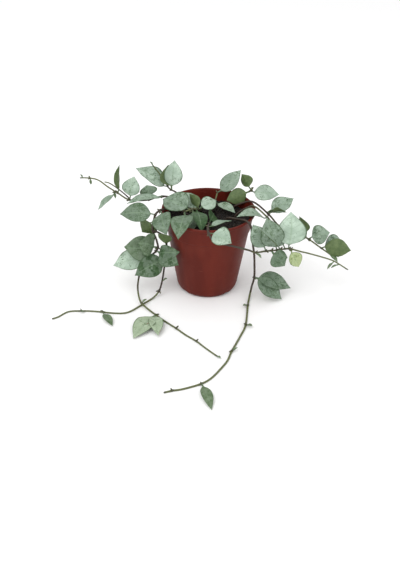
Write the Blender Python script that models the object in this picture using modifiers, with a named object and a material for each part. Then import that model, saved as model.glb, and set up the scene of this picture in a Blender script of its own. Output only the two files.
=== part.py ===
"""A silver hoya in a round plastic nursery pot, with vines that stand, arch and trail on the table.

Units: lengths named here are millimetres; the meshes are metres. The origin is the centre of the
pot's underside, +Z is up and -Y is the front of the plant.
"""

import math

import bmesh
import bpy
from mathutils import Vector

MM = 0.001

# Driving dimensions
GAP = 0.3                    # clearance between two pieces that touch or grow from one another
POT_SIDES = 48
WALL = 1.4                   # thickness of the pot's wall
RIM_RADIUS = 52.0            # outside of the rolled lip
POT_HEIGHT = 97.5
COLLAR_Z = 75.5              # lower edge of the band below the lip
COLLAR_RADIUS = 47.2         # outside of that band at its lower edge
WALL_TOP_RADIUS = 46.1       # outside of the tapered wall just under the band
WALL_FOOT_RADIUS = 35.3      # outside of the tapered wall where the rounded corner starts
FOOT_RADIUS = 31.0           # outside of the ring the pot stands on
DRAIN_RISE = 2.0             # how far the channel inside that ring is lifted off the table
SOIL_Z = 84.0                # level of the soil below the lip
SOIL_RELIEF = 1.1            # height of the lumps in the soil
STALK_RADIUS = 0.7
STALK_LENGTH = 3.0
LEAF_CORNERS = 6             # corners of each ring of a leaf
BLADE_THICKNESS = 1.2
KNOT_SWELL = 0.35            # how much a stem thickens where leaves grow
KNOT_LENGTH = 1.8            # half the length of such a knot
STEPS = 2                    # tube rings for each step of a route

# The blade's half width along its length, as shares of half the leaf's width
OUTLINE = [(0.0, 0.12), (0.08, 0.60), (0.22, 0.91), (0.40, 1.0), (0.60, 0.90),
           (0.78, 0.62), (0.91, 0.28), (1.0, 0.03)]

# Vines: name, radius at the root, radius at the tip, leafless knots, route.
# A route that starts with None starts on the soil.
VINES = [
    ("vine_far_left", 1.2, 0.7, [9.9],
     [(-26, 20, None), (-28, 21, 90), (-38, 22, 97), (-48, 20, 101), (-57, 20, 100),
      (-70, 18, 97), (-88, 10, 101), (-101, 14, 107), (-113, 23, 110), (-125, 34, 113),
      (-136, 39, 113), (-147, 41, 112)]),
    ("twig_far_left", 0.8, 0.6, [],
     [(-89, 12, 102.5), (-99, 24, 105), (-112, 36, 108), (-119, 40, 108)]),
    ("vine_upright_left", 1.2, 0.7, [],
     [(-14, 24, None), (-16, 25, 89), (-27, 30, 94), (-38, 34, 100), (-45, 42, 100),
      (-49, 45, 105), (-56, 48, 115), (-64, 50, 125)]),
    ("vine_short_left", 1.1, 0.9, [],
     [(-6, 6, None), (-7, 5, 89), (-9, 1, 94), (-14, -5, 99), (-20, -11, 101),
      (-26, -20, 103)]),
    ("vine_trailing_left", 1.3, 0.8, [14, 18, 20],
     [(-18, -1, None), (-21, -2, 89), (-36, -4, 97), (-49, -9, 100), (-57, -13, 97),
      (-60, -16, 88), (-61, -18, 78), (-57, -19, 67), (-56, -20, 56), (-65, -20, 45),
      (-75, -19, 30), (-78, -20, 17), (-79, -25, 8), (-77, -38, 5), (-73, -51, 4),
      (-64, -61, 2), (-56, -69, 1), (-44, -82, 1), (-33, -93, 1), (-22, -105, 1),
      (-11, -115, 1), (0, -128, 1), (12, -141, 1)]),
    ("vine_trailing_far_left", 1.1, 0.8, [6, 15],
     [(-58, -19, 78), (-50, -21, 74), (-46, -21, 64), (-46, -20, 50), (-49, -21, 30),
      (-51, -25, 17), (-54, -31, 8), (-59, -36, 3), (-64, -40, 1), (-75, -53, 1),
      (-84, -63, 1), (-92, -67, 1), (-104, -67, 1), (-118, -65, 1), (-128, -64, 1),
      (-138, -64, 1), (-150, -65, 1), (-156, -69, 1), (-162, -76, 1), (-168, -80, 1)]),
    ("vine_front", 1.3, 0.7, [9],
     [(2, -14, None), (2, -16, 89), (0, -34, 95), (-1, -49, 100), (0, -57, 98),
      (5, -62, 92), (14, -63, 89), (28, -60, 84), (43, -55, 77), (51, -51, 72),
      (62, -46, 71), (74, -42, 70), (87, -40, 71), (99, -40, 68), (111, -40, 65),
      (128, -42, 61), (138, -44, 58), (153, -46, 49)]),
    ("vine_trailing_right", 1.3, 0.9, [12, 13, 15, 21],
     [(20, -4, None), (22, -6, 89), (32, -20, 95), (40, -33, 100), (45, -37, 96),
      (47, -35, 84), (49, -33, 70), (51, -32, 57), (52, -31, 44), (53, -26, 25),
      (51, -25, 12), (48, -35, 3), (46, -48, 1), (42, -85, 1), (35, -107, 1),
      (26, -131, 1), (21, -147, 1), (14, -160, 1), (5, -174, 1), (-5, -183, 1),
      (-22, -191, 1), (-33, -194, 1), (-41, -197, 1)]),
    ("vine_right_upper", 1.2, 0.8, [],
     [(26, 20, None), (28, 20, 89), (38, 17, 96), (50, 12, 100), (66, 0, 92), (79, -6, 80),
      (94, -12, 77), (109, -18, 72), (125, -24, 63), (137, -30, 57)]),
    ("vine_right_lower", 1.2, 0.8, [],
     [(30, 4, None), (32, 4, 89), (42, 3, 97), (51, 1, 100), (65, -7, 91), (71, -10, 85)]),
    ("vine_upright_right", 1.2, 0.8, [],
     [(16, 22, None), (18, 23, 89), (30, 27, 97), (42, 30, 102), (47, 28, 106),
      (50, 27, 111)]),
    ("vine_upright_back", 1.1, 0.8, [],
     [(4, 16, None), (5, 18, 89), (8, 26, 96), (10, 32, 101)]),
]

# Leaves: name, vine, place along its route, then for each blade (tip, width, the way its upper
# face looks, arch). A piece with two blades is the pair that grows from one side of a knot.
LEAVES = [
    ("leaf_far_left_upright", "vine_far_left", 7.0, [((-100, 26, 136), 16, (-3, 1, 0), 1)]),
    ("leaf_far_left_drooping", "vine_far_left", 7.2, [((-124, 6, 90), 11, (-2, -1, 2), 1)]),
    ("leaf_far_left_round", "vine_far_left", 6.0, [((-83, 20, 125), 20, (0, -1, 1), 1)]),
    ("leaf_far_left_low", "vine_far_left", 4.7, [((-70, 28, 111), 20, (0, -1, 1), 1)]),
    ("leaf_far_left_flat", "vine_far_left", 3.4, [((-90, -2, 103), 16, (0, 0, 1), 2)]),
    ("leaf_upright_left_long", "vine_upright_left", 4.5, [((-84, 56, 119), 24, (0, -1, 3), 4)]),
    ("leaf_pair_upright_left", "vine_upright_left", 3.6,
     [((-39, 52, 131), 22, (1, -3, 1), 1), ((-47, 48, 127), 20, (-1, 2, 0), 1)]),
    ("leaf_pair_inner_left", "vine_short_left", 2.0,
     [((-34, 34, 100), 20, (0, -1, 2), 1), ((-21, 14, 108), 14, (1, 2, 0), 1)]),
    ("leaf_inner_pointed", "vine_short_left", 2.5, [((9, 15, 100), 17, (1, -1, 2), 1)]),
    ("leaf_inner_streaked", "vine_short_left", 3.0, [((-7, -46, 93), 17, (1, -1, 3), 4)]),
    ("leaf_inner_olive", "vine_short_left", 3.6, [((-21, -41, 86), 18, (-1, -1, 3), -1)]),
    ("leaf_left_broad", "vine_short_left", 4.0, [((-51, 8, 105), 32, (0, -1, 3), 2)]),
    ("leaf_rim_left", "vine_short_left", 5.0, [((-32, -60, 92), 24, (-1, -3, 2), 5)]),
    ("leaf_left_draped", "vine_trailing_left", 3.4, [((-45, -44, 88), 23, (-1, -3, 2), 3)]),
    ("leaf_left_pointed", "vine_trailing_left", 4.2, [((-97, -14, 96), 22, (0, -1, 1), 1)]),
    ("leaf_left_underside", "vine_trailing_left", 5.0, [((-73, -12, 73), 23, (0, 3, -1), 1)]),
    ("leaf_left_small_olive", "vine_trailing_far_left", 2.0,
     [((-50, -33, 84), 16, (1, 3, 0), 1)]),
    ("leaf_pair_left_middle", "vine_trailing_left", 7.8,
     [((-93, -22, 59), 28, (0, -2, 1), 1), ((-76, -30, 69), 26, (0, -2, 1), 1)]),
    ("leaf_pair_left_by_pot", "vine_trailing_left", 8.2,
     [((-32, -44, 50), 22, (-1, -3, 2), 1), ((-31, -38, 63), 18, (-1, -3, 1), 1)]),
    ("leaf_left_pale", "vine_trailing_left", 9.0, [((-106, -24, 36), 24, (0, -1, 1), 1)]),
    ("leaf_left_lowest", "vine_trailing_far_left", 3.3,
     [((-80, -40, 33), 26, (0, -3, 1), 2)]),
    ("leaf_pair_table_left", "vine_trailing_left", 16.0,
     [((-77, -114, 3), 22, (0, 0, 1), 1), ((-51, -110, 4), 16, (0, 0, 1), 2)]),
    ("leaf_small_table_left", "vine_trailing_far_left", 12.7,
     [((-101, -92, 2), 9, (0, 0, 1), 1)]),
    ("leaf_inner_dark", "vine_front", 1.6, [((6, 0, 92), 16, (1, -1, 1), 1)]),
    ("leaf_inner_narrow", "vine_front", 2.8, [((25, -26, 97), 14, (0, 1, 3), 1)]),
    ("leaf_front", "vine_front", 4.0, [((24, -68, 93), 24, (0, -1, 2), 2)]),
    ("leaf_right_round_small", "vine_front", 10.0, [((47, -37, 98), 22, (0, -2, 1), 1)]),
    ("leaf_right_tall", "vine_front", 11.0, [((61, -42, 109), 26, (0, -2, 1), 1)]),
    ("leaf_right_edge_on", "vine_front", 11.3, [((49, -68, 113), 9, (1, 0, 1), 1)]),
    ("leaf_right_behind", "vine_front", 11.7, [((68, -30, 91), 24, (0, -2, 1), 1)]),
    ("leaf_right_round_large", "vine_front", 12.0, [((87, -34, 112), 33, (0, -2, 1), 1)]),
    ("leaf_pair_right_hanging", "vine_front", 10.5,
     [((86, -48, 64), 14, (0, -3, 1), 1), ((83, -52, 56), 20, (0, -4, 1), 1)]),
    ("leaf_right_yellow", "vine_front", 12.2, [((100, -42, 49), 16, (0, -1, 1), 1)]),
    ("leaf_pair_right_low", "vine_trailing_right", 9.0,
     [((96, -24, 10), 22, (0, -1, 2), 1), ((85, -38, 4), 22, (0, -1, 2), 1)]),
    ("leaf_table_front", "vine_trailing_right", 19.0, [((5, -221, 2), 11, (0, 0, 1), 1)]),
    ("leaf_pair_right_upper", "vine_right_upper", 4.0,
     [((94, 10, 107), 20, (0, -1, 2), 1), ((86, -4, 97), 16, (0, 1, 1), 1)]),
    ("leaf_right_hidden", "vine_right_upper", 6.8, [((100, -12, 96), 20, (2, 1, 0), 1)]),
    ("leaf_right_far", "vine_right_upper", 7.1, [((133, -20, 81), 22, (0, -1, 1), 1)]),
    ("leaf_pair_right_end", "vine_right_upper", 8.0,
     [((152, -18, 63), 24, (0, -1, 1), 1), ((155, -40, 70), 20, (0, 2, -1), 1)]),
    ("leaf_right_over_rim", "vine_right_lower", 4.0, [((30, -21, 99), 20, (0, 0, 1), 5)]),
    ("leaf_upright_right_dark", "vine_upright_right", 4.2, [((37, 36, 123), 16, (1, 2, 0), 1)]),
    ("leaf_upright_right_inner", "vine_upright_right", 3.8,
     [((20, 21, 97), 19, (0, 2, -1), 1)]),
    ("leaf_upright_right_outer", "vine_upright_right", 4.0,
     [((79, 20, 106), 19, (0, -1, 1), 1)]),
    ("leaf_pair_upright_back", "vine_upright_back", 3.0,
     [((34, 50, 121), 12, (-1, -1, 3), 1), ((36, 42, 125), 18, (0, -1, 1), 1)]),
    ("leaf_back_narrow", "vine_upright_back", 1.6, [((30, 5, 90), 13, (1, -1, 1), 1)]),
]


def clear_scene():
    """Remove every object and material left over from the start-up file."""
    for thing in list(bpy.data.objects):
        bpy.data.objects.remove(thing)
    for material in list(bpy.data.materials):
        bpy.data.materials.remove(material)


def new_collection(name):
    collection = bpy.data.collections.new(name)
    bpy.context.scene.collection.children.link(collection)
    return collection


def new_material(name, colour, roughness):
    material = bpy.data.materials.new(name)
    material.use_nodes = True
    shader = material.node_tree.nodes["Principled BSDF"]
    shader.inputs["Base Color"].default_value = (*colour, 1.0)
    shader.inputs["Roughness"].default_value = roughness
    shader.inputs["Metallic"].default_value = 0.0
    return material


clear_scene()
PLANT = new_collection("potted_hoya_plant")
CUTTERS = new_collection("cutters")
POT_PLASTIC = new_material("pot_plastic", (0.16, 0.035, 0.022), 0.45)
SOIL_MIX = new_material("soil_mix", (0.018, 0.012, 0.009), 0.95)
LEAF_TISSUE = new_material("leaf_tissue", (0.42, 0.56, 0.44), 0.5)
STEM_TISSUE = new_material("stem_tissue", (0.07, 0.08, 0.03), 0.6)


def add_object(name, mesh, material, collection=PLANT):
    thing = bpy.data.objects.new(name, mesh)
    collection.objects.link(thing)
    mesh.materials.append(material)
    return thing


def mesh_from(name, points, faces):
    """A mesh of points in millimetres, with its faces turned outwards."""
    mesh = bpy.data.meshes.new(name)
    mesh.from_pydata([Vector(p) * MM for p in points], [], faces)
    bm = bmesh.new()
    bm.from_mesh(mesh)
    bmesh.ops.recalc_face_normals(bm, faces=bm.faces)
    bm.to_mesh(mesh)
    bm.free()
    return mesh


def solidified(thing):
    """Put the result of an object's modifiers in its own mesh."""
    depsgraph = bpy.context.evaluated_depsgraph_get()
    mesh = bpy.data.meshes.new_from_object(thing.evaluated_get(depsgraph))
    thing.modifiers.clear()
    thing.data = mesh
    return thing


def turned(name, profile, material):
    """Turn a profile of (radius, height) about the Z axis; it starts and ends on that axis."""
    mesh = bpy.data.meshes.new(name)
    edges = [(i, i + 1) for i in range(len(profile) - 1)]
    mesh.from_pydata([Vector((r, 0.0, z)) * MM for r, z in profile], edges, [])
    thing = add_object(name, mesh, material)
    screw = thing.modifiers.new("turn", "SCREW")
    screw.angle = math.tau
    screw.steps = POT_SIDES
    screw.render_steps = POT_SIDES
    screw.use_merge_vertices = True
    screw.merge_threshold = 0.00005
    screw.use_normal_calculate = True
    return solidified(thing)


def boolean(thing, other, operation):
    modifier = thing.modifiers.new(operation.lower(), "BOOLEAN")
    modifier.operation = operation
    modifier.solver = "EXACT"
    modifier.object = other


# ---------------------------------------------------------------- pot

INNER = [
    (0.0, WALL),
    (10.6, WALL),
    (13.0, DRAIN_RISE + WALL),
    (24.6, DRAIN_RISE + WALL),
    (27.2, WALL + 0.2),
    (FOOT_RADIUS - 0.4, WALL + 0.5),
    (WALL_FOOT_RADIUS - WALL - 0.6, 5.4),
    (WALL_FOOT_RADIUS - WALL + 0.2, 9.0),
    (WALL_TOP_RADIUS - WALL, COLLAR_Z + 0.6),
    (COLLAR_RADIUS - WALL + 0.2, COLLAR_Z + 2.0),
    (48.7, 93.5),
    (49.3, 96.6),
]
OUTER = [
    (49.9, POT_HEIGHT),
    (RIM_RADIUS - 0.5, POT_HEIGHT),
    (RIM_RADIUS, POT_HEIGHT - 0.6),
    (RIM_RADIUS, POT_HEIGHT - 2.4),
    (RIM_RADIUS - 0.5, POT_HEIGHT - 2.9),
    (50.1, 93.9),
    (COLLAR_RADIUS, COLLAR_Z + 0.6),
    (COLLAR_RADIUS - 0.4, COLLAR_Z),
    (WALL_TOP_RADIUS, COLLAR_Z - 0.2),
    (WALL_FOOT_RADIUS, 8.0),
    (WALL_FOOT_RADIUS - 0.9, 4.2),
    (WALL_FOOT_RADIUS - 2.4, 1.4),
    (FOOT_RADIUS, 0.0),
    (27.6, 0.0),
    (25.0, DRAIN_RISE),
    (12.6, DRAIN_RISE),
    (10.2, 0.0),
    (0.0, 0.0),
]
pot = turned("pot", INNER + OUTER, POT_PLASTIC)

# Four drain slots open the corner where the wall meets the foot ring.
SLOT_WIDTH = 9.0
SLOT_RISE = 3.4
for quarter in range(4):
    angle = math.radians(48 + 90 * quarter)
    bm = bmesh.new()
    bmesh.ops.create_cone(bm, cap_ends=True, segments=12, radius1=SLOT_WIDTH / 2 * MM,
                          radius2=SLOT_WIDTH / 2 * MM, depth=12 * MM)
    cutter_mesh = bpy.data.meshes.new("drain_slot")
    bm.to_mesh(cutter_mesh)
    bm.free()
    cutter = bpy.data.objects.new(f"drain_slot_{quarter + 1}", cutter_mesh)
    CUTTERS.objects.link(cutter)
    cutter.rotation_euler = (0.0, math.pi / 2, -angle)
    cutter.scale = (SLOT_RISE / (SLOT_WIDTH / 2), 1.0, 1.0)
    cutter.location = Vector((math.cos(angle), -math.sin(angle), 0.0)) * 33 * MM
    cutter.hide_render = True
    cutter.display_type = "WIRE"
    boolean(pot, cutter, "DIFFERENCE")
bpy.context.view_layer.update()
solidified(pot)


# ---------------------------------------------------------------- soil

def soil_height(x, y):
    """The lumpy top of the soil; it is level where it meets the pot."""
    fade = max(0.0, 1.0 - (math.hypot(x, y) / 44.0) ** 4)
    lumps = math.sin(x * 0.31 + 0.6) * math.cos(y * 0.27) + 0.5 * math.sin(x * 0.13 - y * 0.19)
    return SOIL_Z + SOIL_RELIEF * fade * lumps


SOIL_RINGS = [0.0, 9.0, 18.0, 27.0, 35.0, 42.0]
soil_profile = [(radius, SOIL_Z) for radius in SOIL_RINGS]
soil_profile.append((INNER[-2][0] - 1.9, SOIL_Z - 0.4))
soil_profile += [(max(r - GAP - 0.1, 0.0), z + GAP + 0.1) for r, z in reversed(INNER[:-2])]
soil = turned("soil", soil_profile, SOIL_MIX)
for vertex in soil.data.vertices:
    if vertex.co.z > (SOIL_Z - 0.2) * MM:
        vertex.co.z = soil_height(vertex.co.x / MM, vertex.co.y / MM) * MM


# ---------------------------------------------------------------- vines

def curve_point(route, place):
    """A point on the smooth curve through a route; place 2.5 is halfway from stop 2 to stop 3."""
    last = len(route) - 1
    stop = min(int(place), last - 1)
    t = place - stop
    before, start, end, after = (Vector(route[min(max(k, 0), last)])
                                 for k in (stop - 1, stop, stop + 1, stop + 2))
    return 0.5 * (2 * start + (end - before) * t
                  + (2 * before - 5 * start + 4 * end - after) * t ** 2
                  + (3 * start - before - 3 * end + after) * t ** 3)


def rooted(route):
    """The route with its first stop seated on the soil, if it grows from there."""
    x, y, z = route[0]
    if z is None:
        z = soil_height(x, y) + GAP + 0.6
    return [(x, y, z)] + route[1:]


class Vine:
    """One stem: a smooth route, a radius that tapers, and a knot wherever leaves grow."""

    def __init__(self, root_radius, tip_radius, knots, route):
        self.root_radius = root_radius
        self.tip_radius = tip_radius
        self.knots = knots
        self.route = rooted(route)

    def knot_span(self, place):
        """Half a knot's length, counted in steps of the route."""
        stop = min(int(place), len(self.route) - 2)
        step = Vector(self.route[stop + 1]) - Vector(self.route[stop])
        return KNOT_LENGTH / step.length

    def radius(self, place):
        share = place / (len(self.route) - 1)
        plain = self.root_radius + (self.tip_radius - self.root_radius) * share
        swell = max([0.0] + [1.0 - abs(place - knot) / self.knot_span(knot)
                             for knot in self.knots])
        return plain * (1.0 + KNOT_SWELL * swell)

    def point(self, place):
        """A point on the stem's centre line, kept clear above the table."""
        found = curve_point(self.route, place)
        found.z = max(found.z, self.radius(place) + 0.05)
        return found

    def direction(self, place):
        low = max(place - 0.05, 0.0)
        high = min(place + 0.05, len(self.route) - 1)
        return (self.point(high) - self.point(low)).normalized()

    def places(self):
        """Where the tube has rings: evenly along the route, and around every knot."""
        last = len(self.route) - 1
        even = [i / STEPS for i in range(last * STEPS + 1)]
        around = []
        for knot in self.knots:
            span = self.knot_span(knot)
            around += [p for p in (knot - span, knot, knot + span) if 0.0 < p < last]
        far = [p for p in even if all(abs(p - q) > 0.6 * self.knot_span(q) for q in around)]
        return sorted(far + around)


def add_vine(name, vine):
    """A round tube along the vine, made as a bevelled curve with closed ends."""
    curve = bpy.data.curves.new(name, "CURVE")
    curve.dimensions = "3D"
    curve.bevel_depth = MM
    curve.bevel_resolution = 1
    curve.use_fill_caps = True
    places = vine.places()
    spline = curve.splines.new("POLY")
    spline.points.add(len(places) - 1)
    for point, place in zip(spline.points, places):
        point.co = (*(vine.point(place) * MM), 1.0)
        point.radius = vine.radius(place)
    tube = bpy.data.objects.new(name + "_curve", curve)
    PLANT.objects.link(tube)
    depsgraph = bpy.context.evaluated_depsgraph_get()
    mesh = bpy.data.meshes.new_from_object(tube.evaluated_get(depsgraph))
    bpy.data.objects.remove(tube)
    bm = bmesh.new()
    bm.from_mesh(mesh)
    bmesh.ops.remove_doubles(bm, verts=bm.verts, dist=0.00001)
    bmesh.ops.recalc_face_normals(bm, faces=bm.faces)
    bm.to_mesh(mesh)
    bm.free()
    mesh.name = name
    mesh.materials.clear()
    return add_object(name, mesh, STEM_TISSUE)


vines = {}
for name, root_radius, tip_radius, knots, route in VINES:
    leafy = sorted({place for _, vine_name, place, _ in LEAVES if vine_name == name})
    vines[name] = Vine(root_radius, tip_radius, knots + leafy, route)
    add_vine(name, vines[name])


# ---------------------------------------------------------------- leaves

def stalk_start(vine, place, tips):
    """Where a stalk's end sits: just off the side of the stem that faces the blades."""
    centre = vine.point(place)
    along = vine.direction(place)
    towards = sum(((tip - centre).normalized() for tip in tips), Vector())
    side = (towards - along * towards.dot(along)).normalized()
    lean = min(((tip - centre).normalized().dot(side) for tip in tips))
    reach = STALK_RADIUS * math.sqrt(max(0.0, 1.0 - lean * lean))
    return centre + side * (vine.radius(place) + GAP + reach)


def blade_rings(start, tip, width, face, arch):
    """Rings of points from the stalk's end, through the flat blade, to the tip."""
    along = (tip - start).normalized()
    up = Vector(face)
    up = (up - along * up.dot(along)).normalized()
    across = along.cross(up)
    base = start + along * STALK_LENGTH
    length = (tip - base).length
    sections = [(start, STALK_RADIUS, STALK_RADIUS),
                (start + along * (STALK_LENGTH * 0.7), STALK_RADIUS, STALK_RADIUS)]
    for share, spread in OUTLINE:
        centre = base + along * (length * share) + up * (arch * 4 * share * (1 - share))
        thin = min(1.0, 0.25 + spread) * BLADE_THICKNESS / 2
        sections.append((centre, max(spread * width / 2, 0.35), thin))
    rings = []
    for centre, half_width, half_thickness in sections:
        cup = half_width ** 2 / max(width, 1.0) * 0.35
        ring = []
        for corner in range(LEAF_CORNERS):
            angle = math.tau * corner / LEAF_CORNERS
            ring.append(centre + across * (half_width * math.cos(angle))
                        + up * (half_thickness * math.sin(angle)
                                + cup * math.cos(angle) ** 2))
        rings.append(ring)
    return rings


def loft(name, rings):
    """Skin the rings into one closed body."""
    points = [point for ring in rings for point in ring]
    n = LEAF_CORNERS
    faces = [list(range(n)), list(range(len(points) - n, len(points)))]
    for first in range(0, len(points) - n, n):
        for k in range(n):
            after = (k + 1) % n
            faces.append([first + k, first + after, first + n + after, first + n + k])
    return mesh_from(name, points, faces)


for name, vine_name, place, blades in LEAVES:
    tips = [Vector(tip) for tip, _, _, _ in blades]
    start = stalk_start(vines[vine_name], place, tips)
    meshes = [loft(name, blade_rings(start, tip, width, face, arch))
              for tip, (_, width, face, arch) in zip(tips, blades)]
    leaf = add_object(name, meshes[0], LEAF_TISSUE)
    if len(meshes) == 2:
        partner = bpy.data.objects.new(name + "_partner", meshes[1])
        CUTTERS.objects.link(partner)
        partner.hide_render = True
        partner.display_type = "WIRE"
        boolean(leaf, partner, "UNION")
        bpy.context.view_layer.update()
        solidified(leaf)
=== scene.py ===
# %% [markdown]
# # A silver hoya in a nursery pot
# This lesson grows a trailing house plant: a turned plastic pot, a bed of potting mix, twelve
# wiry stems and the thick waxy leaves that sit on them. The stems and leaves follow rules, so
# Geometry Nodes grow them; the pot is a turned shape, so a Screw modifier turns it.
# We start by loading the frame: the plain solids that say where every piece belongs.

# %% Load the frame
import math
import random

import bmesh
import bpy
from mathutils import Matrix, Vector


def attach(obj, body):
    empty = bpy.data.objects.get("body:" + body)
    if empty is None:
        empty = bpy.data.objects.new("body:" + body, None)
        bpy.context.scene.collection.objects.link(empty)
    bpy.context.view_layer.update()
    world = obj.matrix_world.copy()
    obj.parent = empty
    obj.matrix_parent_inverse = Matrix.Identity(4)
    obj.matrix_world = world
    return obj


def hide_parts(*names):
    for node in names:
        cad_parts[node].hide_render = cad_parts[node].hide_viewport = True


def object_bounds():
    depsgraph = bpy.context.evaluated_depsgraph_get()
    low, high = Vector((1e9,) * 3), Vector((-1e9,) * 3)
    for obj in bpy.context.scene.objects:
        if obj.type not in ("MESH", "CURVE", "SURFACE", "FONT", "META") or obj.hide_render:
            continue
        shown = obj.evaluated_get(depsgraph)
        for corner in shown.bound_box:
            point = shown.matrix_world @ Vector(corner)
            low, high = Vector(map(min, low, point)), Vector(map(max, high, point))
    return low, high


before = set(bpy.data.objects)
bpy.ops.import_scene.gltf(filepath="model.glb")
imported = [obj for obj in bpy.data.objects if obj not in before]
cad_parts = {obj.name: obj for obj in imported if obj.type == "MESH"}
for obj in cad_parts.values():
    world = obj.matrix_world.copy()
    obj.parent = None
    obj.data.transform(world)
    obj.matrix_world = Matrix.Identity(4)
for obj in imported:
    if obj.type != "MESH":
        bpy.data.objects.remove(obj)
BOX_LOW, BOX_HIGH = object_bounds()
print(f"{len(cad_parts)} solids, from {tuple(BOX_LOW)} to {tuple(BOX_HIGH)}")

# %% [markdown]
# ## Camera, floor and light
# A plant like this is shown from above, on a plain pale sheet. An even white sky gives the
# shallow shadows of a bright room, and two soft lamps, a strong one on the left and a weak one
# on the right, give the leaves their shape. A harder lamp would hide the trailing stems in
# shadow. The camera comes first, so that every later step can be looked at through it.

# %% Camera
MM = 0.001
CAMERA_PLACE = (-0.008, -0.7531, 0.4888)
CAMERA_TILT = 56.8      # degrees up from looking straight down
CAMERA_ROLL = 1.0       # degrees
LENS = 48.3             # focal length on a 36 mm sensor, in millimetres


def set_camera():
    """A slightly long lens, looking down at the pot from the front with a hint of roll."""
    lens = bpy.data.cameras.new("studio_camera")
    lens.lens = LENS
    lens.sensor_width = 36.0
    camera = bpy.data.objects.new("studio_camera", lens)
    camera.location = CAMERA_PLACE
    tilt = Matrix.Rotation(math.radians(CAMERA_TILT), 4, "X")
    roll = Matrix.Rotation(math.radians(CAMERA_ROLL), 4, "Z")
    camera.rotation_euler = (tilt @ roll).to_euler()
    bpy.context.scene.collection.objects.link(camera)
    bpy.context.scene.camera = camera
    return camera


print("camera stands at", tuple(set_camera().location))

# %% Floor, sky and lamps
FLOOR_HALF = 4.0
SKY_STRENGTH = 1.0
LAMP_TARGET = Vector((0.0, -0.05, 0.05))
# name, place, side length, power
LAMPS = [
    ("window_box", (-0.7, -0.9, 1.5), 1.2, 13.0),
    ("fill_box", (1.2, -0.9, 0.9), 1.2, 3.0),
]


def pale_paper():
    """Matt white paper."""
    material = bpy.data.materials.new("pale_paper")
    material.use_nodes = True
    shader = material.node_tree.nodes["Principled BSDF"]
    shader.inputs["Base Color"].default_value = (0.92, 0.92, 0.92, 1)
    shader.inputs["Roughness"].default_value = 0.9
    return material


def add_floor(material):
    """A wide level sheet that the plant stands on."""
    mesh = bpy.data.meshes.new("floor")
    corners = [(-FLOOR_HALF, -FLOOR_HALF, 0.0), (FLOOR_HALF, -FLOOR_HALF, 0.0),
               (FLOOR_HALF, FLOOR_HALF, 0.0), (-FLOOR_HALF, FLOOR_HALF, 0.0)]
    mesh.from_pydata(corners, [], [(0, 1, 2, 3)])
    mesh.materials.append(material)
    floor = bpy.data.objects.new("floor", mesh)
    bpy.context.scene.collection.objects.link(floor)
    return floor


def add_lamp(name, place, size, power):
    """A square soft box that faces the plant."""
    light = bpy.data.lights.new(name, "AREA")
    light.size = size
    light.energy = power
    lamp = bpy.data.objects.new(name, light)
    lamp.location = place
    aim = LAMP_TARGET - lamp.location
    lamp.rotation_euler = aim.to_track_quat("-Z", "Y").to_euler()
    bpy.context.scene.collection.objects.link(lamp)
    return lamp


def light_scene():
    """A white sky and the soft boxes."""
    world = bpy.data.worlds.new("white_room")
    world.use_nodes = True
    sky = world.node_tree.nodes["Background"]
    sky.inputs["Color"].default_value = (1.0, 1.0, 1.0, 1.0)
    sky.inputs["Strength"].default_value = SKY_STRENGTH
    bpy.context.scene.world = world
    for lamp in LAMPS:
        add_lamp(*lamp)


bpy.context.scene.view_settings.view_transform = "Standard"
light_scene()
add_floor(pale_paper())
print("lamps:", [lamp.name for lamp in bpy.data.lights])

# %% [markdown]
# ## A helper for node trees
# Both the finishes and the growing plant are node trees. Written out node by node they would run
# to hundreds of lines, so a small class makes a node, feeds its sockets with numbers or with
# other nodes' outputs, and hands back its output. Sums then read almost like plain formulas.

# %% Node helper


class Tree:
    """A node tree under construction."""

    def __init__(self, tree):
        self.tree = tree

    def node(self, kind, feeds=(), **settings):
        """Make a node; feeds is a list in socket order or a dictionary by socket number."""
        made = self.tree.nodes.new(kind)
        for setting, value in settings.items():
            setattr(made, setting, value)
        pairs = feeds.items() if isinstance(feeds, dict) else enumerate(feeds)
        for number, feed in pairs:
            self.feed(made.inputs[number], feed)
        return made

    def feed(self, socket, feed):
        if isinstance(feed, bpy.types.NodeSocket):
            self.tree.links.new(feed, socket)
        elif feed is not None:
            socket.default_value = feed

    def math(self, operation, *feeds):
        return self.node("ShaderNodeMath", feeds, operation=operation).outputs[0]

    def add(self, a, b):
        return self.math("ADD", a, b)

    def times(self, a, b):
        return self.math("MULTIPLY", a, b)

    def vector(self, operation, *feeds):
        return self.node("ShaderNodeVectorMath", feeds, operation=operation).outputs[0]

    def scaled(self, vector, factor):
        return self.node("ShaderNodeVectorMath", {0: vector, 3: factor},
                         operation="SCALE").outputs[0]

    def total(self, *vectors):
        result = vectors[0]
        for vector in vectors[1:]:
            result = self.vector("ADD", result, vector)
        return result

    def ramp(self, value, low, high, out_low=0.0, out_high=1.0):
        """Ease smoothly from out_low to out_high while value goes from low to high."""
        return self.node("ShaderNodeMapRange", [value, low, high, out_low, out_high],
                         interpolation_type="SMOOTHSTEP").outputs[0]

    def blend(self, share, first, second):
        """Mix two colours."""
        return self.node("ShaderNodeMix", {0: share, 6: first, 7: second},
                         data_type="RGBA").outputs[2]

    def noise(self, place, scale, detail=2.0, roughness=0.5):
        return self.node("ShaderNodeTexNoise", {0: place, 2: scale, 3: detail, 4: roughness})


print("node helper ready")

# %% [markdown]
# ## The potting mix's and the pot's finish
# Nursery pots are moulded in cheap coloured plastic: a satin skin with faint flow streaks, fine
# turning rings left by the mould and pale scuffs. The mix is peat and bark, nearly black when
# damp. All of these read Object coordinates, so they stay put when the plant is turned.

# %% Finishes for the pot and the mix


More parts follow.
